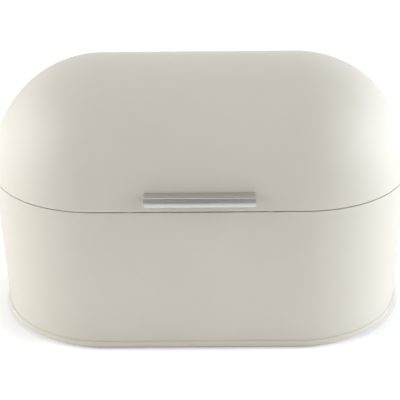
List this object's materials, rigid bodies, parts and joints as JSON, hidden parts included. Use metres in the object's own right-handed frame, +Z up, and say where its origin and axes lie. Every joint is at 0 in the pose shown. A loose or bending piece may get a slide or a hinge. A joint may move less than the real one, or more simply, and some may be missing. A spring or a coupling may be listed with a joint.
{
  "type": "bread box",
  "caption": "Round-ended steel bread box with a half-capsule lid hinged at the back, an aluminium pull grip at the front, air holes behind and rubber feet.",
  "frame": {"origin": "on the floor, under the middle of the box's outer bounds", "axes": "+X along the length towards the right end, +Y to the hinged back, +Z up; the grip faces -Y"},
  "size_m": [0.4226, 0.2481, 0.2645],
  "materials": {
    "paint": "satin warm almond powder coat",
    "grip_aluminium": "satin anodised extrusion",
    "plated_steel": "bright nickel plate",
    "foot_rubber": "matte black",
    "buffer_silicone": "soft milky"
  },
  "bodies": {
    "tub": {"tub_wall": "paint", "base_ring": "paint", "tub_floor": "paint", "foot_front_left": "foot_rubber", "foot_front_right": "foot_rubber", "foot_rear_left": "foot_rubber", "foot_rear_right": "foot_rubber", "buffer_front_left": "buffer_silicone", "buffer_front_right": "buffer_silicone", "buffer_end_left": "buffer_silicone", "buffer_end_right": "buffer_silicone", "hinge_left_body_leaf": "plated_steel", "hinge_left_pin": "plated_steel", "hinge_right_body_leaf": "plated_steel", "hinge_right_pin": "plated_steel", "rivet_left_body_inner": "plated_steel", "rivet_left_body_outer": "plated_steel", "rivet_right_body_inner": "plated_steel", "rivet_right_body_outer": "plated_steel"},
    "lid": {"lid_shell": "paint", "lid_grip": "grip_aluminium", "grip_screw_left": "plated_steel", "grip_screw_right": "plated_steel", "grip_washer_left": "plated_steel", "grip_washer_right": "plated_steel", "hinge_left_lid_leaf": "plated_steel", "hinge_right_lid_leaf": "plated_steel", "rivet_left_lid_inner": "plated_steel", "rivet_left_lid_outer": "plated_steel", "rivet_right_lid_inner": "plated_steel", "rivet_right_lid_outer": "plated_steel"}
  },
  "joints": [
    {"name": "lid_hinge", "type": "hinge", "parent": "tub", "child": "lid", "pos_m": [0, 0.1161, 0.15145], "axis": [-1, 0, 0], "range_deg": [0, 95]}
  ]
}
